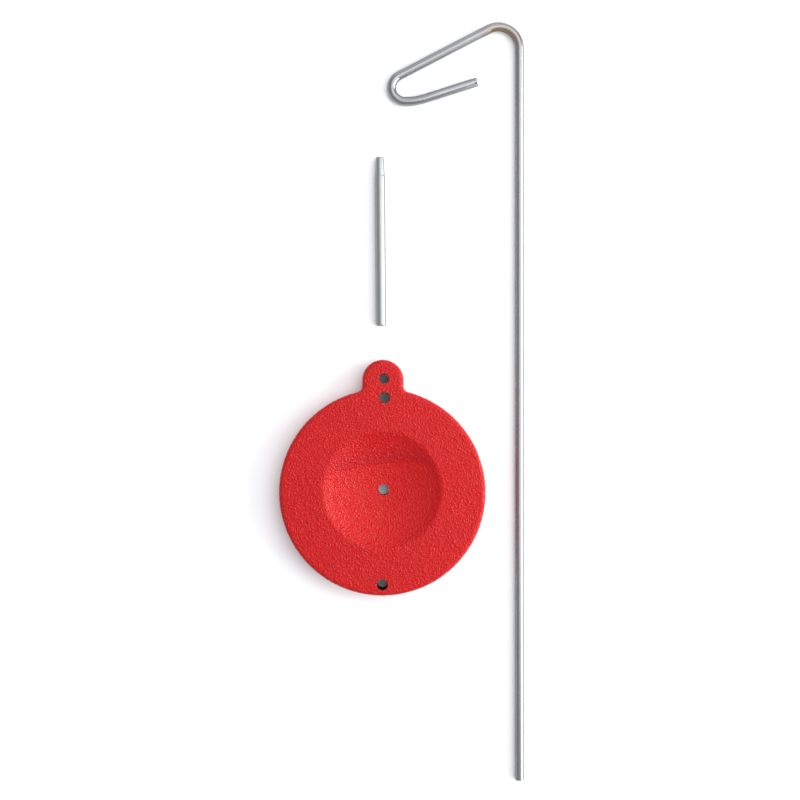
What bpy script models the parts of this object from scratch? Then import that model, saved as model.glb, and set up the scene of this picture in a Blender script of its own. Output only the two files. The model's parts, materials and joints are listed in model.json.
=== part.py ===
"""A hanging disc kit, taken apart and laid out flat: a thick dished disc with a hanging tab, a
tapered steel pin that fits the disc's drilled holes, and a long steel rod bent to a hook at its top.

Lengths are in metres and +Z is up. The disc lies face up with its tab towards +Y, the pin lies
beyond the tab, and the rod lies to the right, its foot towards -Y. The origin is the middle of the
layout's footprint, on the surface that it lies on.
"""
import math

import bmesh
import bpy
from mathutils import Matrix, Vector

# The moulded disc
DISC_DIAMETER = 0.1200
DISC_THICKNESS = 0.0150
TOP_EDGE_ROUNDING = 0.0022
BOTTOM_EDGE_ROUNDING = 0.0012
TAB_WIDTH = 0.0240
TAB_LENGTH = 0.0170
TAB_ROOT_FILLET = 0.0035

# The dish in its face: part of a sphere, with a softened rim and a small flat round its middle hole
DISH_DIAMETER = 0.0690
DISH_DEPTH = 0.0070
DISH_RIM_ROUNDING = 0.0080
DISH_FLAT_BEYOND_HOLE = 0.0010
DISH_CENTRE_Y = 0.0012

# The round stock of the pin and the rod
PIN_DIAMETER = 0.0060
ROD_DIAMETER = 0.0052

# Holes drilled through the disc. Each sits a little to the right of the moulding's middle line: the
# hanger's in from the tab's end, the next in from the disc's edge below the tab, one in the middle of
# the dish, and one in from the edge at the bottom.
PIN_CLEARANCE = 0.00035
HANGER_CLEARANCE = 0.00060
HANGER_HOLE_X = 0.0006
HANGER_HOLE_FROM_TAB_END = 0.0111
TAB_HOLE_X = 0.0011
TAB_HOLE_FROM_EDGE = 0.0050
CENTRE_HOLE_X = 0.0007
EDGE_HOLE_X = 0.0003
EDGE_HOLE_FROM_EDGE = 0.0065

# The pin. It drops by a small step to the start of its taper, which narrows to the tip.
PIN_LENGTH = 0.0990
PIN_TAPER_LENGTH = 0.0108
PIN_TAPER_DROP = 0.00045
PIN_SHOULDER_LENGTH = 0.0006
PIN_SHOULDER_DROP = 0.0002
PIN_TIP_CHAMFER = 0.0003
PIN_BUTT_CHAMFER = 0.0006

# The rod and its hook. Bend radii are those of the rod's middle line.
ROD_LENGTH = 0.4455
TOP_BEND_RADIUS = 0.0113
UPPER_LEG_LENGTH = 0.0606
UPPER_LEG_SLOPE = math.radians(27.4)
LOOP_BEND_RADIUS = 0.0080
LOOP_RUN_OUT_RADIUS = 0.0400
LOOP_RUN_OUT_TURN = math.radians(18.0)
LOWER_LEG_LENGTH = 0.0309
LOWER_LEG_SLOPE = math.radians(17.8)
ROD_END_CHAMFER = 0.0004

# How the pieces are laid out
ROD_GAP = 0.0180
PIN_GAP = 0.0203
FOOT_BELOW_DISC = 0.1098
PIN_OFFSET = -0.0008
DISC_LEAN = math.radians(0.3)
PIN_LEAN = math.radians(0.44)

# How finely round shapes are faceted
OUTLINE_STEP = math.radians(3.0)
TAB_END_STEP = math.radians(9.0)
FILLET_STEP = math.radians(13.0)
DISH_SEGMENTS = 72
DISH_RINGS = 7
RIM_RINGS = 4
HOLE_SEGMENTS = 32
STOCK_SEGMENTS = 24
BEND_STEP = math.radians(9.0)
CUT_OVERRUN = 0.0020

DISC_RADIUS = DISC_DIAMETER / 2
ROD_RADIUS = ROD_DIAMETER / 2
PIN_RADIUS = PIN_DIAMETER / 2
LAYOUT_WIDTH = DISC_DIAMETER + ROD_GAP + ROD_DIAMETER
FOOT_Y = -ROD_LENGTH / 2
ROD_X = LAYOUT_WIDTH / 2 - ROD_RADIUS
DISC_X = DISC_RADIUS - LAYOUT_WIDTH / 2
DISC_Y = FOOT_Y + FOOT_BELOW_DISC + DISC_RADIUS
PIN_Y = DISC_Y + DISC_RADIUS + TAB_LENGTH + PIN_GAP


def clear_scene():
    for item in list(bpy.data.objects):
        bpy.data.objects.remove(item, do_unlink=True)


def make_material(name, colour, roughness, metallic):
    material = bpy.data.materials.new(name)
    material.use_nodes = True
    shader = material.node_tree.nodes["Principled BSDF"]
    shader.inputs["Base Color"].default_value = (*colour, 1.0)
    shader.inputs["Roughness"].default_value = roughness
    shader.inputs["Metallic"].default_value = metallic
    return material


def make_object(name, bm, material=None):
    """Turns a bmesh into an object with its faces pointing out, shaded smooth between sharp edges."""
    bmesh.ops.recalc_face_normals(bm, faces=bm.faces)
    mesh = bpy.data.meshes.new(name)
    bm.to_mesh(mesh)
    bm.free()
    mesh.shade_smooth()
    mesh.set_sharp_from_angle(angle=math.radians(35))
    made = bpy.data.objects.new(name, mesh)
    bpy.context.scene.collection.objects.link(made)
    if material:
        mesh.materials.append(material)
    return made


def arc(centre, radius, start, end, step):
    """Points along an arc from one angle to another, both ends included."""
    count = math.ceil(abs(end - start) / step)
    turns = [start + (end - start) * i / count for i in range(count + 1)]
    return [(centre[0] + radius * math.cos(a), centre[1] + radius * math.sin(a)) for a in turns]


def disc_outline():
    """The disc's outline, counter-clockwise: the tab's round end, its left side running through a
    fillet into the circle, and the same on the right."""
    tab_radius = TAB_WIDTH / 2
    tab_end = (0.0, DISC_RADIUS + TAB_LENGTH - tab_radius)
    fillet_x = tab_radius + TAB_ROOT_FILLET
    fillet_y = math.sqrt((DISC_RADIUS + TAB_ROOT_FILLET) ** 2 - fillet_x ** 2)
    meeting = math.atan2(fillet_y, fillet_x)
    points = arc(tab_end, tab_radius, 0.0, math.pi, TAB_END_STEP)
    points += arc((-fillet_x, fillet_y), TAB_ROOT_FILLET, 0.0, -meeting, FILLET_STEP)
    points += arc((0.0, 0.0), DISC_RADIUS, math.pi - meeting, math.tau + meeting, OUTLINE_STEP)[1:]
    points += arc((fillet_x, fillet_y), TAB_ROOT_FILLET, math.pi + meeting, math.pi, FILLET_STEP)[1:]
    return points


def round_edges(bm, height, rounding, segments):
    """Rounds the edges of the outline that lie at one height."""
    level = [e for e in bm.edges if all(abs(v.co.z - height) < 1e-6 for v in e.verts)]
    bmesh.ops.bevel(
        bm, geom=level, offset=rounding, offset_type="OFFSET", segments=segments, profile=0.5,
        affect="EDGES", clamp_overlap=False, material=-1,
    )


def extend(bm, face, offset, scale=1.0):
    """Extrudes an end face along a vector, scales it about its middle, and gives the new end. The
    old end is removed, unless it is a lone face, which stays as the solid's first end."""
    lone = all(len(edge.link_faces) == 1 for edge in face.edges)
    made = bmesh.ops.extrude_face_region(bm, geom=[face])["geom"]
    if not lone:
        bmesh.ops.delete(bm, geom=[face], context="FACES_ONLY")
    end = next(item for item in made if isinstance(item, bmesh.types.BMFace))
    bmesh.ops.translate(bm, verts=end.verts, vec=offset)
    to_middle = Matrix.Translation(-end.calc_center_bounds())
    bmesh.ops.scale(bm, verts=end.verts, vec=(scale, scale, scale), space=to_middle)
    return end


def bend(bm, face, centre, angle):
    """Carries an end face round a centre in the plane it lies in, and gives the new end."""
    steps = math.ceil(abs(angle) / BEND_STEP)
    geom = [face, *face.edges, *face.verts]
    made = bmesh.ops.spin(bm, geom=geom, cent=centre, axis=(0, 0, 1), angle=angle, steps=steps)
    return next(item for item in made["geom_last"] if isinstance(item, bmesh.types.BMFace))


def stock_end(bm, radius, at):
    """The flat end of a round bar that runs towards +Y, its middle at a point."""
    facing = Matrix.Translation(at) @ Matrix.Rotation(math.pi / 2, 4, "X")
    bmesh.ops.create_circle(bm, cap_ends=True, segments=STOCK_SEGMENTS, radius=radius, matrix=facing)
    return bm.faces[:][0]


def hole_cutter(name, x, y, diameter):
    bm = bmesh.new()
    bmesh.ops.create_cone(
        bm, cap_ends=True, segments=HOLE_SEGMENTS, radius1=diameter / 2, radius2=diameter / 2,
        depth=DISC_THICKNESS + 2 * CUT_OVERRUN, matrix=Matrix.Translation((0, 0, DISC_THICKNESS / 2)),
    )
    cutter = make_object(name, bm)
    cutter.location = (x, y, 0.0)
    return cutter


def dish_profile():
    """Radius and height along the dish's surface, from the edge of its flat outwards: a sphere's
    arc, then the rim's rounding, run on at its last slope to a height above the disc's face."""
    reach = DISH_DIAMETER / 2
    sphere = (reach ** 2 + DISH_DEPTH ** 2) / (2 * DISH_DEPTH)
    sphere_middle = DISC_THICKNESS - DISH_DEPTH + sphere
    rim_middle = DISC_THICKNESS - DISH_RIM_ROUNDING
    slope = math.acos((sphere_middle - rim_middle) / (sphere + DISH_RIM_ROUNDING))
    rim_reach = (sphere + DISH_RIM_ROUNDING) * math.sin(slope)
    flat = (PIN_DIAMETER + PIN_CLEARANCE) / 2 + CENTRE_HOLE_X + DISH_FLAT_BEYOND_HOLE
    start = math.asin(flat / sphere)
    points = []
    for i in range(DISH_RINGS + 1):
        turn = start + (slope - start) * i / DISH_RINGS
        points.append((sphere * math.sin(turn), sphere_middle - sphere * math.cos(turn)))
    for i in range(1, RIM_RINGS):
        turn = slope * (1 - i / RIM_RINGS)
        radius = rim_reach - DISH_RIM_ROUNDING * math.sin(turn)
        points.append((radius, rim_middle + DISH_RIM_ROUNDING * math.cos(turn)))
    (r0, z0), (r1, z1) = points[-2:]
    above = DISC_THICKNESS + CUT_OVERRUN
    points.append((r1 + (above - z1) * (r1 - r0) / (z1 - z0), above))
    return points


def dish_cutter():
    """A turned solid whose underside is the dish."""
    profile = dish_profile()
    radius, height = profile[0]
    bm = bmesh.new()
    bmesh.ops.create_circle(
        bm, cap_ends=True, segments=DISH_SEGMENTS, radius=radius,
        matrix=Matrix.Translation((0, 0, height)),
    )
    end = bm.faces[:][0]
    for (r0, z0), (r1, z1) in zip(profile, profile[1:]):
        end = extend(bm, end, Vector((0, 0, z1 - z0)), r1 / r0)
    cutter = make_object("dish_cutter", bm)
    cutter.location = (0.0, DISH_CENTRE_Y, 0.0)
    return cutter


def make_disc(material):
    """The moulding with its rounded edges, less the dish and the holes. The cuts use the MANIFOLD
    solver, because EXACT leaves out a wall of the hanger's hole at some thicknesses of the disc."""
    bm = bmesh.new()
    face = bm.faces.new([bm.verts.new((x, y, 0.0)) for x, y in disc_outline()])
    extend(bm, face, Vector((0, 0, DISC_THICKNESS)))
    round_edges(bm, DISC_THICKNESS, TOP_EDGE_ROUNDING, 4)
    round_edges(bm, 0.0, BOTTOM_EDGE_ROUNDING, 3)
    disc = make_object("dished_disc", bm, material)
    disc.location = (DISC_X, DISC_Y, 0.0)
    disc.rotation_euler.z = -DISC_LEAN
    pin_hole = PIN_DIAMETER + PIN_CLEARANCE
    hanger_hole = ROD_DIAMETER + HANGER_CLEARANCE
    hanger_y = DISC_RADIUS + TAB_LENGTH - HANGER_HOLE_FROM_TAB_END
    cutters = [
        dish_cutter(),
        hole_cutter("hanger_hole_cutter", HANGER_HOLE_X, hanger_y, hanger_hole),
        hole_cutter("tab_hole_cutter", TAB_HOLE_X, DISC_RADIUS - TAB_HOLE_FROM_EDGE, pin_hole),
        hole_cutter("centre_hole_cutter", CENTRE_HOLE_X, DISH_CENTRE_Y, pin_hole),
        hole_cutter("edge_hole_cutter", EDGE_HOLE_X, EDGE_HOLE_FROM_EDGE - DISC_RADIUS, pin_hole),
    ]
    for cutter in cutters:
        cutter.parent = disc
        cutter.hide_render = True
        cutter.display_type = "WIRE"
        cut = disc.modifiers.new(cutter.name, "BOOLEAN")
        cut.operation = "DIFFERENCE"
        cut.solver = "MANIFOLD"
        cut.object = cutter
    return disc


def make_pin(material):
    """The pin lies on its side. Its butt end faces the disc and its tip points away from it."""
    shoulder = PIN_RADIUS - PIN_SHOULDER_DROP
    tip = shoulder - PIN_TAPER_DROP
    sections = [
        (0.0, PIN_RADIUS - PIN_BUTT_CHAMFER),
        (PIN_BUTT_CHAMFER * 0.3, PIN_RADIUS - PIN_BUTT_CHAMFER * 0.3),
        (PIN_BUTT_CHAMFER, PIN_RADIUS),
        (PIN_LENGTH - PIN_TAPER_LENGTH - PIN_SHOULDER_LENGTH, PIN_RADIUS),
        (PIN_LENGTH - PIN_TAPER_LENGTH, shoulder),
        (PIN_LENGTH - PIN_TIP_CHAMFER, tip),
        (PIN_LENGTH, tip - PIN_TIP_CHAMFER),
    ]
    bm = bmesh.new()
    end = stock_end(bm, sections[0][1], (0.0, 0.0, PIN_RADIUS))
    for (y0, r0), (y1, r1) in zip(sections, sections[1:]):
        end = extend(bm, end, Vector((0, y1 - y0, 0)), r1 / r0)
    pin = make_object("tapered_pin", bm, material)
    pin.location = (DISC_X + PIN_OFFSET, PIN_Y, 0.0)
    pin.rotation_euler.z = PIN_LEAN
    return pin


def make_rod(material):
    """The rod lies on its side: a straight leg up from the foot, a tight bend to the left, a leg
    sloping down, a loop that bends tightly and then runs out gently, and a leg rising to the free end."""
    bm = bmesh.new()
    narrowed = 1 - ROD_END_CHAMFER / ROD_RADIUS
    leg = ROD_LENGTH - TOP_BEND_RADIUS - ROD_RADIUS - ROD_END_CHAMFER
    end = stock_end(bm, ROD_RADIUS * narrowed, (0.0, 0.0, ROD_RADIUS))
    end = extend(bm, end, Vector((0, ROD_END_CHAMFER, 0)), 1 / narrowed)
    end = extend(bm, end, Vector((0, leg, 0)))

    top_middle = end.calc_center_bounds() + Vector((-TOP_BEND_RADIUS, 0, 0))
    end = bend(bm, end, top_middle, math.pi / 2 + UPPER_LEG_SLOPE)
    down = Vector((-math.cos(UPPER_LEG_SLOPE), -math.sin(UPPER_LEG_SLOPE), 0))
    end = extend(bm, end, down * UPPER_LEG_LENGTH)

    inward = Vector((math.sin(UPPER_LEG_SLOPE), -math.cos(UPPER_LEG_SLOPE), 0))
    loop_middle = end.calc_center_bounds() + inward * LOOP_BEND_RADIUS
    tight_turn = math.pi - UPPER_LEG_SLOPE + LOWER_LEG_SLOPE - LOOP_RUN_OUT_TURN
    end = bend(bm, end, loop_middle, tight_turn)
    run_out_start = LOWER_LEG_SLOPE - LOOP_RUN_OUT_TURN
    inward = Vector((-math.sin(run_out_start), math.cos(run_out_start), 0))
    run_out_middle = end.calc_center_bounds() + inward * LOOP_RUN_OUT_RADIUS
    end = bend(bm, end, run_out_middle, LOOP_RUN_OUT_TURN)
    up = Vector((math.cos(LOWER_LEG_SLOPE), math.sin(LOWER_LEG_SLOPE), 0))
    end = extend(bm, end, up * (LOWER_LEG_LENGTH - ROD_END_CHAMFER))
    extend(bm, end, up * ROD_END_CHAMFER, narrowed)

    rod = make_object("hooked_rod", bm, material)
    rod.location = (ROD_X, FOOT_Y, 0.0)
    return rod


def main():
    clear_scene()
    red = make_material("red_moulded_plastic", (0.62, 0.030, 0.032), 0.45, 0.0)
    satin = make_material("satin_steel", (0.62, 0.63, 0.63), 0.38, 1.0)
    drawn = make_material("drawn_steel", (0.60, 0.60, 0.60), 0.28, 1.0)
    make_disc(red)
    make_pin(satin)
    make_rod(drawn)


main()
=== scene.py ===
# %% [markdown]
# # A hanging disc kit, laid out flat
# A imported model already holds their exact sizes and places. This file loads it as a fixed frame
# and builds a finer piece over each part of it. Lengths are in metres and +Z is up.

import json
import math

import bmesh
import bpy
from mathutils import Matrix, Vector, noise


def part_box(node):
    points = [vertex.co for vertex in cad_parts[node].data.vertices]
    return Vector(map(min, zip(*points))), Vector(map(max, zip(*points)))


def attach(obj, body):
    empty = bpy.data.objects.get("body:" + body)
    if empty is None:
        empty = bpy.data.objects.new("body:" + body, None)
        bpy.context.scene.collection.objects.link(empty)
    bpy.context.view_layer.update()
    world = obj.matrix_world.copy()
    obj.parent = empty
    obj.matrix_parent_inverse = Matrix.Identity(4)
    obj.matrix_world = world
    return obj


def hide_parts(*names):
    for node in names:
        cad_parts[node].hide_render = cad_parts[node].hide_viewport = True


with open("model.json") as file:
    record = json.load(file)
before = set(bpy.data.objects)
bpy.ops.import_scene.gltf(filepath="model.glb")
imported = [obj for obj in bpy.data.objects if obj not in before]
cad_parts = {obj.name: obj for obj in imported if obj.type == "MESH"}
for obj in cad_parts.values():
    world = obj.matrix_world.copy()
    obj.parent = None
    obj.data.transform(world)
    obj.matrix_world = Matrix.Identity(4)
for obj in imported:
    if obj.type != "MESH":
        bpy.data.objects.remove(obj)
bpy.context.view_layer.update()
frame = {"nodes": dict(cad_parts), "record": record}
print("frame nodes:", sorted(frame["nodes"]))

# %% [markdown]
# ## The camera
# A long lens keeps the disc's walls almost hidden. It is set first, so that every later look at
# the scene is from the right place.

# %% Camera
CAMERA_HEIGHT = 0.826
CAMERA_OFFSET = (-0.00131, 0.00065)
SENSOR_WIDTH_MM = 36.0
LENS_MM = 63.0

camera_data = bpy.data.cameras.new("overhead_camera")
camera_data.sensor_width = SENSOR_WIDTH_MM
camera_data.lens = LENS_MM
camera = bpy.data.objects.new("overhead_camera", camera_data)
camera.location = (*CAMERA_OFFSET, CAMERA_HEIGHT)
bpy.context.scene.collection.objects.link(camera)
bpy.context.scene.camera = camera
print("camera", round(CAMERA_HEIGHT, 3), "m up, lens", LENS_MM, "mm")

# %% [markdown]
# ## Places and sizes
# The frame's record names the space in each hole and in the dish, so the middle of that box is the
# middle of the hole. The rest comes from the boxes of the three parts.

# %% Places from the frame
OPENINGS = {o["name"]: o["box_m"] for o in frame["record"]["physics"]["openings"]}


def opening_middle(name):
    low, high = OPENINGS[name]
    return Vector(((low[0] + high[0]) / 2, (low[1] + high[1]) / 2, 0.0))


disc_low, disc_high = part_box("dished_disc")
pin_low, pin_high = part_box("tapered_pin")
rod_low, rod_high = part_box("hooked_rod")

DISC_RADIUS = (disc_high.x - disc_low.x) / 2
DISC_THICKNESS = disc_high.z
DISC_MIDDLE = Vector((disc_low.x + DISC_RADIUS, disc_low.y + DISC_RADIUS, 0.0))
PIN_RADIUS = pin_high.z / 2
ROD_RADIUS = rod_high.z / 2
for name, radius in (("disc", DISC_RADIUS), ("pin", PIN_RADIUS), ("rod", ROD_RADIUS)):
    print(name, "radius", round(radius, 4))

# %% [markdown]
# ## Finishing a piece
# Every piece ends in the same way: its mesh is made from the bmesh, its faces are shaded smooth
# except across sharp edges, it rides on a body of the frame, and it stands for the frame's plain
# part, which is then hidden.

# %% Helpers for pieces
SHARP_ANGLE = math.radians(40)


def mesh_from(bm, name):
    bmesh.ops.recalc_face_normals(bm, faces=bm.faces)
    mesh = bpy.data.meshes.new(name)
    bm.to_mesh(mesh)
    bm.free()
    return mesh


def link(name, mesh):
    made = bpy.data.objects.new(name, mesh)
    bpy.context.scene.collection.objects.link(made)
    return made


def applied(made):
    """Replaces an object's mesh by what its modifiers make of it."""
    graph = bpy.context.evaluated_depsgraph_get()
    graph.update()
    mesh = bpy.data.meshes.new_from_object(made.evaluated_get(graph))
    made.modifiers.clear()
    made.data = mesh
    return mesh


def finish_piece(made, material, body, node):
    made.data.materials.clear()
    made.data.materials.append(material)
    made.data.shade_smooth()
    made.data.set_sharp_from_angle(angle=SHARP_ANGLE)
    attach(made, body)
    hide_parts(node)
    print(made.name, "faces", len(made.data.polygons), "on", body)


# %% [markdown]
# ## The disc's outline
# The outline is drawn as a pen would draw it. One vertex is spun about a centre to leave an arc
# behind it, so the tab's round end, the fillets at its root and the disc's long arc need only
# their centres and angles.

# %% Disc outline
TAB_WIDTH = 0.0240
TAB_LENGTH = 0.0170
TAB_ROOT_FILLET = 0.0035
DISC_LEAN = math.radians(0.3)
ARC_STEP = 0.0008


def pen_arc(bm, vertex, centre, angle):
    """Spins a vertex about a centre and gives the arc's last vertex."""
    radius = (vertex.co - Vector(centre)).length
    steps = max(4, round(abs(angle) * radius / ARC_STEP))
    made = bmesh.ops.spin(bm, geom=[vertex], cent=centre, axis=(0, 0, 1), angle=angle, steps=steps)
    return next(v for v in made["geom_last"] if isinstance(v, bmesh.types.BMVert))


def disc_outline(bm):
    tab_radius = TAB_WIDTH / 2
    fillet_x = tab_radius + TAB_ROOT_FILLET
    fillet_y = math.sqrt((DISC_RADIUS + TAB_ROOT_FILLET) ** 2 - fillet_x ** 2)
    meeting = math.atan2(fillet_y, fillet_x)
    tab_middle = (0.0, DISC_RADIUS + TAB_LENGTH - tab_radius, 0.0)
    start = bm.verts.new((tab_radius, tab_middle[1], 0.0))
    end = pen_arc(bm, start, tab_middle, math.pi)
    down = bm.verts.new((-tab_radius, fillet_y, 0.0))
    bm.edges.new((end, down))
    end = pen_arc(bm, down, (-fillet_x, fillet_y, 0.0), -meeting)
    end = pen_arc(bm, end, (0.0, 0.0, 0.0), math.pi + 2 * meeting)
    end = pen_arc(bm, end, (fillet_x, fillet_y, 0.0), -meeting)
    bm.edges.new((end, start))
    return bmesh.ops.contextual_create(bm, geom=bm.edges[:])["faces"][0]


# %% [markdown]
# ## The disc's body
# The outline is extruded to the disc's thickness and its edges are rounded, more on the face than
# underneath, as a mould's parting line leaves them. The dish is cut with a turned solid: a part
# of a sphere that runs into the face over a soft rim.

# %% Disc body and dish
TOP_ROUNDING = 0.0022
BOTTOM_ROUNDING = 0.0012
DISH_RADIUS = 0.0345
DISH_DEPTH = 0.0070
DISH_RIM_ROUNDING = 0.0050
DISH_MIDDLE = opening_middle("dish") - DISC_MIDDLE
DISH_STEPS = 24
RIM_STEPS = 10
DISH_TURN_STEPS = 192
ABOVE_FACE = 0.0020
LEVEL = 1e-6


def round_level_edges(bm, height, rounding, segments):
    edges = [e for e in bm.edges if all(abs(v.co.z - height) < LEVEL for v in e.verts)]
    bmesh.ops.bevel(
        bm, geom=edges, offset=rounding, offset_type="OFFSET", segments=segments, profile=0.5,
        affect="EDGES", clamp_overlap=False, material=-1,
    )


def disc_blank():
    bm = bmesh.new()
    face = disc_outline(bm)
    raised = bmesh.ops.extrude_face_region(bm, geom=[face])["geom"]
    top = [v for v in raised if isinstance(v, bmesh.types.BMVert)]
    bmesh.ops.translate(bm, verts=top, vec=(0, 0, DISC_THICKNESS))
    round_level_edges(bm, DISC_THICKNESS, TOP_ROUNDING, 8)
    round_level_edges(bm, 0.0, BOTTOM_ROUNDING, 5)
    return link("red_disc", mesh_from(bm, "red_disc"))


def dish_profile():
    """The dish from its lowest point outwards: the sphere, the soft rim, then on above the face."""
    sphere = (DISH_RADIUS ** 2 + DISH_DEPTH ** 2) / (2 * DISH_DEPTH)
    sphere_middle = DISC_THICKNESS - DISH_DEPTH + sphere
    rim_middle = DISC_THICKNESS - DISH_RIM_ROUNDING
    slope = math.acos((sphere_middle - rim_middle) / (sphere + DISH_RIM_ROUNDING))
    reach = (sphere + DISH_RIM_ROUNDING) * math.sin(slope)
    points = []
    for i in range(DISH_STEPS + 1):
        turn = slope * i / DISH_STEPS
        points.append((sphere * math.sin(turn), sphere_middle - sphere * math.cos(turn)))
    for i in range(1, RIM_STEPS):
        turn = slope * (1 - i / RIM_STEPS)
        points.append((reach - DISH_RIM_ROUNDING * math.sin(turn),
                       rim_middle + DISH_RIM_ROUNDING * math.cos(turn)))
    (r0, z0), (r1, z1) = points[-2:]
    above = DISC_THICKNESS + ABOVE_FACE
    points.append((r1 + (above - z1) * (r1 - r0) / (z1 - z0), above))
    points.append((0.0, above))
    return points


def turned(name, profile, steps):
    """A solid turned about the Z axis from (radius, height) points that start and end on it."""
    bm = bmesh.new()
    verts = [bm.verts.new((r, 0.0, z)) for r, z in profile]
    edges = [bm.edges.new(pair) for pair in zip(verts, verts[1:])]
    bmesh.ops.spin(bm, geom=verts + edges, cent=(0, 0, 0), axis=(0, 0, 1), angle=math.tau,
                   steps=steps, use_merge=True)
    bmesh.ops.remove_doubles(bm, verts=bm.verts, dist=1e-7)
    return link(name, mesh_from(bm, name))


def cut(made, cutter):
    """Takes a cutter's shape out of an object, and removes the cutter."""
    modifier = made.modifiers.new("cut", "BOOLEAN")
    modifier.operation = "DIFFERENCE"
    modifier.solver = "MANIFOLD"
    modifier.object = cutter
    applied(made)
    bpy.data.objects.remove(cutter)


disc = disc_blank()
dish_cutter = turned("dish_cutter", dish_profile(), DISH_TURN_STEPS)
dish_cutter.location = DISH_MIDDLE
cut(disc, dish_cutter)
print("disc body", len(disc.data.polygons), "faces,", len(disc.data.vertices), "vertices")

# %% [markdown]
# ## An even skin
# The moulded grain is real relief, about two tenths of a millimetre high, so the skin needs small
# faces of an even size everywhere. A voxel remesh gives them. The flat underside carries no grain
# that anyone sees, so its faces are dissolved into one again.

# %% Even skin
SKIN_VOXEL = 0.00048
UNDERSIDE = 0.00008


def even_skin(made):
    remesh = made.modifiers.new("skin", "REMESH")
    remesh.mode = "VOXEL"
    remesh.voxel_size = SKIN_VOXEL
    mesh = applied(made)
    bm = bmesh.new()
    bm.from_mesh(mesh)
    low = [v for v in bm.verts if v.co.z < UNDERSIDE]
    for v in low:
        v.co.z = 0.0
    flat = [f for f in bm.faces if all(v.co.z == 0.0 for v in f.verts)]
    bmesh.ops.dissolve_faces(bm, faces=flat, use_verts=True)
    bm.to_mesh(mesh)
    bm.free()


even_skin(disc)
print("even skin", len(disc.data.polygons), "faces")

# %% [markdown]
# ## The leather grain
# The face is covered in small worm-like bumps, as on leather or orange peel. Ridged noise makes
# them: noise folded at zero leaves creases between rounded bumps. Two sizes are mixed, and each
# point moves along its normal. In the lower part of the dish, below a line that bows up towards
# the tab, the skin lies a third of a millimetre deeper and its grain is flatter. The colour is
# lighter below the line and darker in a band just above it. The height and the line's share are
# kept on the mesh, so that the colour can follow them; by the height the colour paints the creases
# darker and the bumps paler, a painted shade and highlight.

# %% Grain
GRAIN_HEIGHT = 0.00020
GRAIN_PITCH = 0.0019
FINE_PITCH = 0.0013
FINE_SHARE = 0.35
WANDER_PITCH = 2.2 * GRAIN_PITCH
WANDER_REACH = 0.5 * GRAIN_PITCH
RIDGE_GAIN = 3.2
RIDGE_DROP = 0.75
FINE_GAIN = 1.8
WAVE_PITCH = 0.0140
WAVE_HEIGHT = 0.00006
GRAIN_STARTS = 0.0006
GRAIN_FULL = 0.0030
DISH_LINE_EDGE = 0.0167
DISH_LINE_SAG = 0.0038
DISH_LINE_PEAK = 0.5
DISH_LINE_SOFT = 0.0008
DISH_LINE_FADES = 0.82 * DISH_RADIUS
DROP_BELOW_LINE = 0.00035
GRAIN_KEPT_BELOW_LINE = 0.5
ABOVE_LINE_WIDTH = 0.0120


def smooth(value, low, high):
    t = min(1.0, max(0.0, (value - low) / (high - low)))
    return t * t * (3 - 2 * t)


def grain_at(point):
    """About -1 in the creases and +1 on the bumps."""
    wander = noise.noise_vector(point / WANDER_PITCH) * WANDER_REACH
    coarse = noise.noise((point + wander) / GRAIN_PITCH)
    fine = noise.noise((point - wander) / FINE_PITCH)
    ridges = RIDGE_GAIN * abs(coarse) - RIDGE_DROP
    return (1 - FINE_SHARE) * ridges + FINE_SHARE * FINE_GAIN * fine


def dish_line_share(place):
    """1 below a line across the dish that bows up towards the tab, and under 0 just above it."""
    away = place - DISH_MIDDLE
    across = away.x / DISH_RADIUS
    above = away.y - DISH_LINE_EDGE + DISH_LINE_SAG * (across - DISH_LINE_PEAK) ** 2
    inside = 1 - smooth(math.hypot(away.x, away.y), DISH_LINE_FADES, DISH_RADIUS)
    beyond = smooth(above, -DISH_LINE_SOFT, DISH_LINE_SOFT)
    return inside * (1 - beyond - beyond * (1 - smooth(above, DISH_LINE_SOFT, ABOVE_LINE_WIDTH)))


def keep_mark(mesh, name, domain, values):
    mark = mesh.attributes.new(name, "FLOAT", domain)
    mark.data.foreach_set("value", values)


def add_grain(made):
    heights, line_shares, moved = [], [], []
    for v in made.data.vertices:
        dish_line = dish_line_share(v.co)
        share = smooth(v.co.z, GRAIN_STARTS, GRAIN_FULL)
        below_line = max(0.0, dish_line)
        height = grain_at(v.co) * share * (1 - below_line * (1 - GRAIN_KEPT_BELOW_LINE))
        wave = noise.noise(v.co / WAVE_PITCH) * WAVE_HEIGHT * share
        heights.append(height)
        line_shares.append(dish_line)
        moved.append(v.co + v.normal * (height * GRAIN_HEIGHT / 2 + wave - below_line * DROP_BELOW_LINE))
    for v, place in zip(made.data.vertices, moved):
        v.co = place
    keep_mark(made.data, "grain", "POINT", heights)
    keep_mark(made.data, "dish_line", "POINT", line_shares)
    return heights


heights = add_grain(disc)
print("grain from", round(min(heights), 2), "to", round(max(heights), 2))

# %% [markdown]
# ## The drilled holes
# The holes were drilled after the disc was moulded, so they cut through the grain and their edges
# are crisp. Each cutter is turned with a small flare where it leaves the face, which makes the
# narrow bright arris that a drilled hole has.

# %% Drilled holes
PIN_HOLE_RADIUS = PIN_RADIUS + 0.000175
HANGER_HOLE_RADIUS = ROD_RADIUS + 0.0003
ARRIS = 0.00022
HOLE_STEPS = 64
HOLES = {
    "hanger_hole": (HANGER_HOLE_RADIUS, DISC_THICKNESS),
    "tab_hole": (PIN_HOLE_RADIUS, DISC_THICKNESS),
    "centre_hole": (PIN_HOLE_RADIUS, DISC_THICKNESS - DISH_DEPTH),
    "edge_hole": (PIN_HOLE_RADIUS, DISC_THICKNESS),
}


def hole_profile(radius, face):
    flared = radius + ARRIS + ABOVE_FACE
    below = -ABOVE_FACE
    return [(0.0, below), (radius, below), (radius, face - ARRIS), (flared, face + ABOVE_FACE),
            (0.0, face + ABOVE_FACE)]


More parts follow.
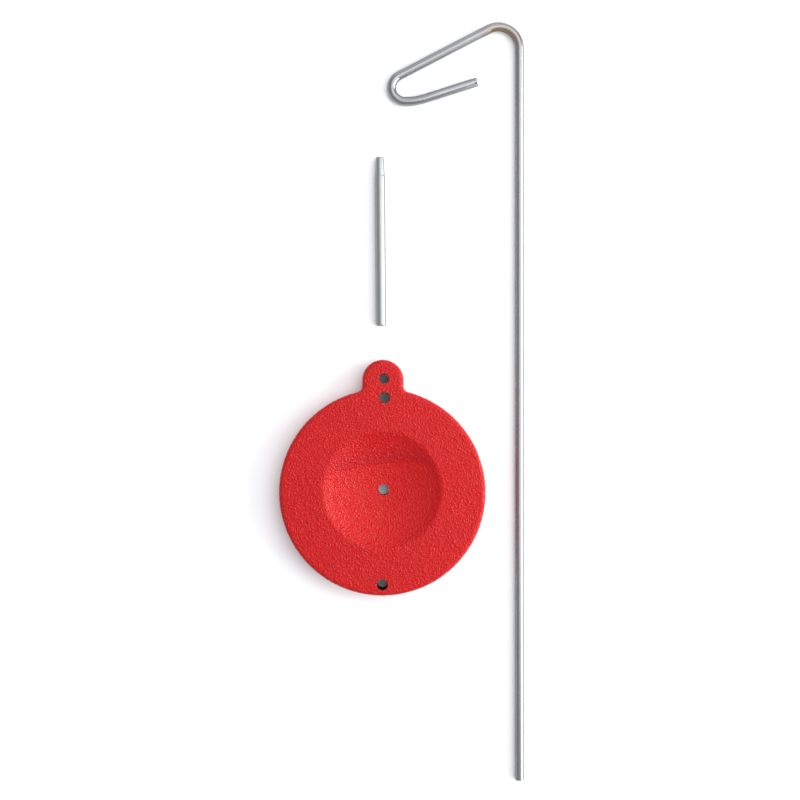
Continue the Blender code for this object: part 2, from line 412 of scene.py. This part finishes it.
disc.data.transform(Matrix.Translation(DISC_MIDDLE) @ Matrix.Rotation(-DISC_LEAN, 4, "Z"))
for hole, (radius, face) in HOLES.items():
    drill = turned(hole + "_drill", hole_profile(radius, face), HOLE_STEPS)
    drill.location = opening_middle(hole)
    cut(disc, drill)
print("drilled", len(HOLES), "holes,", len(disc.data.polygons), "faces")

# %% [markdown]
# ## Marks that the colour follows
# Some looks belong to places on the disc and not to a pattern: the drilled bores are dark, and a
# scuff lies between the dish and the tab. Each is kept on the mesh as an attribute from 0 to 1,
# which the material reads, as it does the line across the dish and the grain.

# %% Marks
BORE_REACH = 0.00012
WALL_TILT = 0.35
SCUFF_MIDDLE = Vector((0.0132, 0.0390, DISC_THICKNESS))
SCUFF_SIZE = (0.0085, 0.0055)


def bore_share(face):
    for hole, (radius, _) in HOLES.items():
        away = face.center - opening_middle(hole)
        if Vector((away.x, away.y)).length < radius + BORE_REACH and abs(face.normal.z) < WALL_TILT:
            return 1.0
    return 0.0


def scuff_share(place):
    away = place - DISC_MIDDLE - SCUFF_MIDDLE
    reach = math.hypot(away.x / SCUFF_SIZE[0], away.y / SCUFF_SIZE[1])
    patchy = smooth(noise.noise(place / 0.0016), -0.1, 0.35)
    return smooth(1 - reach, 0.0, 0.7) * patchy


keep_mark(disc.data, "bore", "FACE", [bore_share(f) for f in disc.data.polygons])
keep_mark(disc.data, "scuff", "POINT", [scuff_share(v.co) for v in disc.data.vertices])
print("marks:", [a.name for a in disc.data.attributes if a.data_type == "FLOAT"])

# %% [markdown]
# ## Building materials
# A material is a short chain of nodes. These helpers add a node, set its inputs by name and join
# its output to the next, so that each finish below reads as a list of what it is made of.

# %% Helpers for materials


def new_finish(name, metallic=0.0, specular=0.5):
    material = bpy.data.materials.new(name)
    material.use_nodes = True
    shader = material.node_tree.nodes["Principled BSDF"]
    shader.inputs["Metallic"].default_value = metallic
    shader.inputs["Specular IOR Level"].default_value = specular
    return material, material.node_tree, shader


def add(tree, kind, inputs=None, **settings):
    """Adds a node. An input's value is a plain value, or another node's output to join to it."""
    made = tree.nodes.new(kind)
    for key, value in settings.items():
        setattr(made, key, value)
    for key, value in (inputs or {}).items():
        if isinstance(value, bpy.types.NodeSocket):
            tree.links.new(value, made.inputs[key])
        else:
            made.inputs[key].default_value = value
    return made


def mark(tree, name):
    return add(tree, "ShaderNodeAttribute", attribute_name=name).outputs["Fac"]


def mixed(tree, share, first, second):
    """A colour between two, by share."""
    node = add(tree, "ShaderNodeMix", data_type="RGBA")
    share_at, first_at, second_at = node.inputs[0], node.inputs[6], node.inputs[7]
    for socket, value in ((share_at, share), (first_at, first), (second_at, second)):
        if isinstance(value, bpy.types.NodeSocket):
            tree.links.new(value, socket)
        elif isinstance(value, tuple):
            socket.default_value = (*value, 1.0)
        else:
            socket.default_value = value
    return node.outputs[2]


def ranged(tree, value, low, high, to_low=0.0, to_high=1.0):
    """A value carried from one range to another, and held inside it."""
    node = add(tree, "ShaderNodeMapRange", {0: value, 1: low, 2: high, 3: to_low, 4: to_high})
    return node.outputs[0]


def spots(tree, where, scale, detail=2.0):
    node = add(tree, "ShaderNodeTexNoise", {"Vector": where, "Scale": scale, "Detail": detail})
    return node.outputs[0]


def maths(tree, operation, first, second):
    return add(tree, "ShaderNodeMath", {0: first, 1: second}, operation=operation).outputs[0]


# %% [markdown]
# ## Red plastic
# A moulded plastic is never one red. The bumps of the grain are painted a little paler, a painted
# highlight, and are shinier, and the creases are painted darker, a painted shade. A second layer of
# worms, too crisp for the skin's faces, is a bump in the shader, and the paint follows it as well.
# Wide soft spots mottle the red and a few specks of dirt sit in it. The bores are dark all the way
# through.

# %% Red plastic
RED_CREASE_SHADE_AND_MOTTLE = (0.405, 0.0010, 0.0020)
RED_BUMP_HIGHLIGHT = (0.525, 0.0025, 0.0030)
RED_BELOW_LINE = (0.490, 0.003, 0.003)
RED_ABOVE_LINE = (0.370, 0.001, 0.004)
RED_SCUFF = (0.430, 0.001, 0.004)
SPECK = (0.120, 0.008, 0.006)
BORE_DARK = (0.016, 0.015, 0.015)
WORM_PITCH = 0.00140
WORM_HEIGHT = 0.00092
MOTTLE_SCALE = 70.0
SPECK_SCALE = 420.0
CREASE_ROUGHNESS = 0.38
BUMP_ROUGHNESS = 0.26
BORE_ROUGHER = 0.35


def red_plastic():
    material, tree, shader = new_finish("red_grained_plastic", specular=0.26)
    where = add(tree, "ShaderNodeTexCoord").outputs["Object"]
    worm = spots(tree, where, 1 / WORM_PITCH, 0.0)
    worm = maths(tree, "ABSOLUTE", maths(tree, "SUBTRACT", worm, 0.5), 0.0)
    # The bumps of the grain are painted paler and its creases darker: a painted highlight and a
    # painted shade.
    painted_relief_light = maths(tree, "ADD", ranged(tree, mark(tree, "grain"), -0.8, 1.2, 0.0, 0.4),
                 ranged(tree, worm, 0.0, 0.25, 0.0, 0.6))
    colour = mixed(tree, painted_relief_light, RED_CREASE_SHADE_AND_MOTTLE, RED_BUMP_HIGHLIGHT)
    mottle = ranged(tree, spots(tree, where, MOTTLE_SCALE), 0.35, 0.65, 0.0, 0.35)
    colour = mixed(tree, mottle, colour, RED_CREASE_SHADE_AND_MOTTLE)
    # The red is lighter below the line across the dish, and darker in a band just above it.
    colour = mixed(tree, ranged(tree, mark(tree, "dish_line"), 0, 1, 0, 0.7), colour, RED_BELOW_LINE)
    colour = mixed(tree, ranged(tree, mark(tree, "dish_line"), 0, -1, 0, 0.7), colour, RED_ABOVE_LINE)
    colour = mixed(tree, ranged(tree, mark(tree, "scuff"), 0, 1, 0, 0.8), colour, RED_SCUFF)
    speck = ranged(tree, spots(tree, where, SPECK_SCALE, 0.0), 0.85, 0.88)
    colour = mixed(tree, speck, colour, SPECK)
    colour = mixed(tree, mark(tree, "bore"), colour, BORE_DARK)
    tree.links.new(colour, shader.inputs["Base Color"])

    rough = ranged(tree, worm, 0.0, 0.22, CREASE_ROUGHNESS, BUMP_ROUGHNESS)
    rough = maths(tree, "ADD", rough, ranged(tree, mark(tree, "bore"), 0, 1, 0, BORE_ROUGHER))
    tree.links.new(rough, shader.inputs["Roughness"])

    bump = add(tree, "ShaderNodeBump", {"Height": worm, "Strength": 1.0, "Distance": WORM_HEIGHT})
    tree.links.new(bump.outputs[0], shader.inputs["Normal"])
    return material


finish_piece(disc, red_plastic(), "disc", "dished_disc")

# %% [markdown]
# ## Round bar
# Both steel pieces start as round bar. A bar is a circle that is extruded step by step, and each
# step may turn about a centre, which bends it, or shrink, which tapers it. Every vertex also
# remembers where it would lie if the bar were straight. Drawing lines, tints and grit follow that
# place, so they run round the bends as they do on real wire.

# %% Round bar
BAR_STEPS = 48
BEND_STEP = math.radians(3.0)


def bar_start(bm, radius, at, direction):
    """The first end of a bar. It looks back along the bar, and its middle is at a point."""
    facing = direction.to_track_quat("Z", "X").to_matrix().to_4x4()
    bmesh.ops.create_circle(bm, cap_ends=True, segments=BAR_STEPS, radius=radius,
                            matrix=Matrix.Translation(at) @ facing)
    straight = bm.verts.layers.float_vector.new("straight")
    middle = Vector(at)
    for v in bm.verts:
        flat = facing.inverted() @ (v.co - middle)
        v[straight] = (flat.x, flat.y, 0.0)
    return bm.faces[:][0]


def carry(bm, face, matrix, length):
    """Extrudes an end of a bar by one step, and gives the new end."""
    straight = bm.verts.layers.float_vector["straight"]
    lone = all(len(edge.link_faces) == 1 for edge in face.edges)
    made = bmesh.ops.extrude_face_region(bm, geom=[face])["geom"]
    if not lone:
        bmesh.ops.delete(bm, geom=[face], context="FACES_ONLY")
    end = next(item for item in made if isinstance(item, bmesh.types.BMFace))
    bmesh.ops.transform(bm, matrix=matrix, verts=end.verts)
    for v in end.verts:
        v[straight] = v[straight] + Vector((0, 0, length))
    return end


def carry_on(bm, face, step, scale=1.0):
    """Carries an end along a vector and scales it about its middle."""
    middle = face.calc_center_bounds()
    shrink = Matrix.Translation(middle) @ Matrix.Scale(scale, 4) @ Matrix.Translation(-middle)
    return carry(bm, face, Matrix.Translation(step) @ shrink, step.length)


def carry_round(bm, face, centre, angle):
    """Carries an end round an upright axis through a centre."""
    steps = math.ceil(abs(angle) / BEND_STEP)
    length = (face.calc_center_bounds() - centre).length * abs(angle) / steps
    turn = Matrix.Rotation(angle / steps, 4, "Z")
    step = Matrix.Translation(centre) @ turn @ Matrix.Translation(-centre)
    for _ in range(steps):
        face = carry(bm, face, step, length)
    return face


# %% [markdown]
# ## The pin
# The pin is turned in a lathe. Its butt end has a small rounded edge, its shank is plain bar, and
# its last eleven millimetres narrow to a blunt tip. Where the taper starts, the tool left a small
# step with a fine groove in front of it, which shows as a bright and a dark ring.

# %% Pin
PIN_LENGTH = 0.0990
TAPER_LENGTH = 0.0108
SHOULDER_DROP = 0.0002
SHOULDER_LENGTH = 0.0010
TAPER_DROP = 0.00045
GROOVE_DEPTH = 0.00003
BUTT_ROUNDING = 0.0007
TIP_ROUNDING = 0.0003
MOUNTS = {m["name"]: m for m in frame["record"]["mounts"]}


def rounded_end(rounding, radius, steps=4):
    """Places and radii that round a bar's end, from the end inwards."""
    turns = [math.pi / 2 * i / steps for i in range(steps + 1)]
    return [(rounding * (1 - math.cos(t)), radius - rounding * (1 - math.sin(t))) for t in turns]


def pin_sections():
    shoulder = PIN_RADIUS - SHOULDER_DROP
    tip = shoulder - TAPER_DROP
    start = PIN_LENGTH - TAPER_LENGTH
    groove = [(0.0, shoulder), (0.0001, shoulder - GROOVE_DEPTH), (0.0004, shoulder - GROOVE_DEPTH),
              (0.0006, shoulder - 0.00002)]
    near = rounded_end(BUTT_ROUNDING, PIN_RADIUS)
    far = [(PIN_LENGTH - along, radius) for along, radius in rounded_end(TIP_ROUNDING, tip)]
    middle = [(start - SHOULDER_LENGTH, PIN_RADIUS), (start - 0.0006, PIN_RADIUS - 0.00003)]
    return near + middle + [(start + along, radius) for along, radius in groove] + far[::-1]


def make_pin():
    bm = bmesh.new()
    direction = -Vector(MOUNTS["pin_butt"]["axis"])
    sections = pin_sections()
    end = bar_start(bm, sections[0][1], MOUNTS["pin_butt"]["pos_m"], direction)
    for (y0, r0), (y1, r1) in zip(sections, sections[1:]):
        end = carry_on(bm, end, direction * (y1 - y0), r1 / r0)
    return link("steel_pin", mesh_from(bm, "steel_pin"))


pin = make_pin()
print("pin", len(pin.data.polygons), "faces")

# %% [markdown]
# ## The hooked rod
# The rod is bent by hand round two pegs. From its foot it runs straight up, turns tightly over the
# top, comes down at a slope, turns back through a loop whose bend opens out, and ends in a short
# rising leg. Cutters nipped both ends, so each is a little narrower, and a small pit lies on top of
# the bar just before the free end.

# %% Hooked rod
TOP_BEND_RADIUS = 0.0124
UPPER_LEG = 0.0595
UPPER_SLOPE = math.radians(27.4)
LOOP_RADIUS = 0.0080
RUN_OUT_RADIUS = 0.0400
RUN_OUT_TURN = math.radians(18.0)
LOWER_LEG = 0.0315
LOWER_SLOPE = math.radians(17.8)
NIPPED = 0.0004
END_DROP = 0.00015
PIT_RADIUS = 0.0006
PIT_REACH = 1.01 * PIT_RADIUS
PIT_SUNK = 0.0002
PIT_BACK = 0.0012
PIT_ASIDE = 0.0010
ROD_FOOT = Vector(MOUNTS["rod_foot"]["pos_m"])


def heading(angle):
    return Vector((math.cos(angle), math.sin(angle), 0.0))


def inward_of(direction):
    return Vector((-direction.y, direction.x, 0.0))


def pit_cutter(place):
    bm = bmesh.new()
    bmesh.ops.create_icosphere(bm, subdivisions=3, radius=PIT_RADIUS)
    made = link("pit_cutter", mesh_from(bm, "pit_cutter"))
    made.location = place
    return made


def make_rod():
    bm = bmesh.new()
    narrowed = 1 - NIPPED / ROD_RADIUS
    up = Vector((0, 1, 0))
    leg = rod_high.y - ROD_FOOT.y - ROD_RADIUS - TOP_BEND_RADIUS - NIPPED
    end = bar_start(bm, ROD_RADIUS * narrowed, ROD_FOOT, up)
    end = carry_on(bm, end, up * NIPPED, 1 / narrowed)
    end = carry_on(bm, end, up * leg)

    end = carry_round(bm, end, end.calc_center_bounds() - Vector((TOP_BEND_RADIUS, 0, 0)),
                      math.pi / 2 + UPPER_SLOPE)
    down = heading(math.pi + UPPER_SLOPE)
    end = carry_on(bm, end, down * UPPER_LEG)

    inward = heading(math.pi * 1.5 + UPPER_SLOPE)
    turn = math.pi - UPPER_SLOPE + LOWER_SLOPE - RUN_OUT_TURN
    end = carry_round(bm, end, end.calc_center_bounds() + inward * LOOP_RADIUS, turn)
    inward = heading(math.pi / 2 + LOWER_SLOPE - RUN_OUT_TURN)
    end = carry_round(bm, end, end.calc_center_bounds() + inward * RUN_OUT_RADIUS, RUN_OUT_TURN)
    up = heading(LOWER_SLOPE)
    end = carry_on(bm, end, up * (LOWER_LEG - NIPPED))
    end = carry_on(bm, end, up * NIPPED, 1 - END_DROP / ROD_RADIUS)
    pit = end.calc_center_bounds() - up * PIT_BACK - inward_of(up) * PIT_ASIDE
    pit.z = ROD_RADIUS + math.sqrt(ROD_RADIUS ** 2 - PIT_ASIDE ** 2) - PIT_SUNK
    made = link("steel_rod", mesh_from(bm, "steel_rod"))
    cut(made, pit_cutter(pit))
    # The pit's faces are marked, so that the steel can paint shade into the hollow.
    in_pit = [(f.center - pit).length < PIT_REACH for f in made.data.polygons]
    keep_mark(made.data, "pit", "FACE", [float(inside) for inside in in_pit])
    print("pit faces", sum(in_pit))
    return made


rod = make_rod()
rod_length = max(a.vector.z for a in rod.data.attributes["straight"].data)
print("rod", len(rod.data.polygons), "faces,", round(rod_length, 4), "m of bar")

# %% [markdown]
# ## Steel
# Drawn bar is grey and half bright. Drawing leaves fine lines along it, and handling leaves cloudy
# spots. Both read the straight place of each point, stretched along the bar. The rod also has a
# straw tint with a brown line on the inner side of its top bend.

# %% Steel
ROD_GREY = (0.290, 0.292, 0.300)
ROD_DARK = (0.205, 0.207, 0.215)
PIN_GREY = (0.340, 0.354, 0.350)
PIN_DARK = (0.285, 0.298, 0.297)
EDGE_GREY = (0.60, 0.62, 0.65)
STRAW = (0.330, 0.255, 0.165)
BROWN = (0.080, 0.050, 0.030)
PIT_PAINTED_SHADE = (0.030, 0.025, 0.025)
TINT_REACH = 0.0180
LINE_PITCH = 0.0006
LINE_LENGTH = 0.2500
LINE_RELIEF = 0.00003
CLOUD_SCALE = 110.0


def steel(name, colour, dark, rough, lines, tint=None):
    material, tree, shader = new_finish(name, metallic=1.0)
    shader.inputs["Specular Tint"].default_value = (*EDGE_GREY, 1.0)
    straight = add(tree, "ShaderNodeAttribute", attribute_name="straight").outputs["Vector"]
    along_bar = (1 / LINE_PITCH, 1 / LINE_PITCH, 1 / LINE_LENGTH)
    stretched = add(tree, "ShaderNodeMapping", {"Vector": straight, "Scale": along_bar}).outputs[0]
    line = spots(tree, stretched, 1.0, 3.0)
    cloud = spots(tree, straight, CLOUD_SCALE)
    base = mixed(tree, ranged(tree, cloud, 0.35, 0.70, 0.0, 0.25), colour, dark)
    base = mixed(tree, ranged(tree, line, 0.45, 0.75, 0.0, 0.35), base, dark)
    if tint:
        middle, reach = tint
        place = add(tree, "ShaderNodeSeparateXYZ", {0: straight})
        away = maths(tree, "ABSOLUTE", maths(tree, "SUBTRACT", place.outputs[2], middle), 0.0)
        near = ranged(tree, away, reach * 0.4, reach, 1.0, 0.0)
        inner = ranged(tree, place.outputs[1], -0.6 * ROD_RADIUS, 0.7 * ROD_RADIUS, 0.85, 0.0)
        base = mixed(tree, maths(tree, "MULTIPLY", near, inner), base, STRAW)
        edge = ranged(tree, place.outputs[1], -0.9 * ROD_RADIUS, -0.6 * ROD_RADIUS, 0.9, 0.0)
        base = mixed(tree, maths(tree, "MULTIPLY", near, edge), base, BROWN)
    # The pit's faces are painted near black: a painted shade in the hollow.
    base = mixed(tree, mark(tree, "pit"), base, PIT_PAINTED_SHADE)
    tree.links.new(base, shader.inputs["Base Color"])
    roughness = ranged(tree, cloud, 0.3, 0.7, rough - 0.01, rough + 0.02)
    tree.links.new(roughness, shader.inputs["Roughness"])
    bump = add(tree, "ShaderNodeBump",
               {"Height": line, "Strength": lines, "Distance": LINE_RELIEF})
    tree.links.new(bump.outputs[0], shader.inputs["Normal"])
    return material


bend_middle = rod_high.y - ROD_FOOT.y - ROD_RADIUS + TOP_BEND_RADIUS * 0.2
rod_steel = steel("drawn_steel", ROD_GREY, ROD_DARK, 0.27, 0.2, (bend_middle, TINT_REACH))
pin_steel = steel("satin_steel", PIN_GREY, PIN_DARK, 0.37, 0.1)
finish_piece(pin, pin_steel, "pin", "tapered_pin")
finish_piece(rod, rod_steel, "rod", "hooked_rod")

# %% [markdown]
# ## The studio
# White paper lies below, and the room around it is a plain grey. The paper is nearly even, so that
# it shows as a clean white ground, and the plain "Standard" view keeps that white.

# %% Paper and room
PAPER_SIZE = 8.0
PAPER_WHITE = (0.90, 0.90, 0.90)
PAPER_PALER = (0.92, 0.92, 0.92)
ROOM_GREY = (0.58, 0.60, 0.63)


def paper():
    bm = bmesh.new()
    bmesh.ops.create_grid(bm, x_segments=1, y_segments=1, size=PAPER_SIZE / 2)
    sheet = link("paper", mesh_from(bm, "paper"))
    material, tree, shader = new_finish("white_paper", specular=0.1)
    where = add(tree, "ShaderNodeTexCoord").outputs["Object"]
    shade = mixed(tree, spots(tree, where, 3.0), PAPER_WHITE, PAPER_PALER)
    tree.links.new(shade, shader.inputs["Base Color"])
    shader.inputs["Roughness"].default_value = 0.8
    sheet.data.materials.append(material)
    return sheet


def room():
    world = bpy.data.worlds.new("room")
    world.use_nodes = True
    background = world.node_tree.nodes["Background"]
    background.inputs["Color"].default_value = (*ROOM_GREY, 1.0)
    background.inputs["Strength"].default_value = 1.0
    bpy.context.scene.world = world


paper()
room()
bpy.context.scene.view_settings.view_transform = "Standard"
print("paper", PAPER_SIZE, "m across")

# %% [markdown]
# ## The lights
# A window stands on the right, in three bands: its middle is the brightest. It throws short soft
# shadows to the left and draws a bright line along each bar. A ceiling in three parts fills from
# above, brighter on the window's side, and a pale wall at the back lights the far side of each
# edge. The camera does not see the lights themselves.

# %% Lights


def softbox(name, radiance, size, place, target):
    """A rectangle of light of one radiance, looking at a point."""
    lamp = bpy.data.lights.new(name, "AREA")
    lamp.shape = "RECTANGLE"
    lamp.size, lamp.size_y = size
    lamp.energy = radiance * math.pi * size[0] * size[1]
    made = bpy.data.objects.new(name, lamp)
    made.location = place
    made.rotation_euler = (Vector(target) - Vector(place)).to_track_quat("-Z", "Y").to_euler()
    made.visible_camera = False
    bpy.context.scene.collection.objects.link(made)
    return made


softbox("window_low", 7.2, (0.98, 0.21), (0.75, -0.075, 0.27), (0, -0.075, 0.27))
softbox("window_sill", 6.0, (0.98, 0.12), (0.75, -0.075, 0.095), (0, -0.075, 0.095))
softbox("window_high", 4.6, (0.98, 0.30), (0.75, -0.075, 0.525), (0, -0.075, 0.525))
softbox("ceiling_right", 1.95, (1.10, 1.59), (0.55, 0.405, 1.15), (0.55, 0.405, 0))
softbox("ceiling_left", 0.50, (0.45, 1.59), (-0.225, 0.405, 1.15), (-0.225, 0.405, 0))
softbox("ceiling_front", 0.94, (0.65, 0.71), (0.775, -0.745, 1.15), (0.775, -0.745, 0))
softbox("back_wall", 0.93, (1.60, 0.65), (0.10, 1.20, 0.475), (0.10, 0, 0.475))
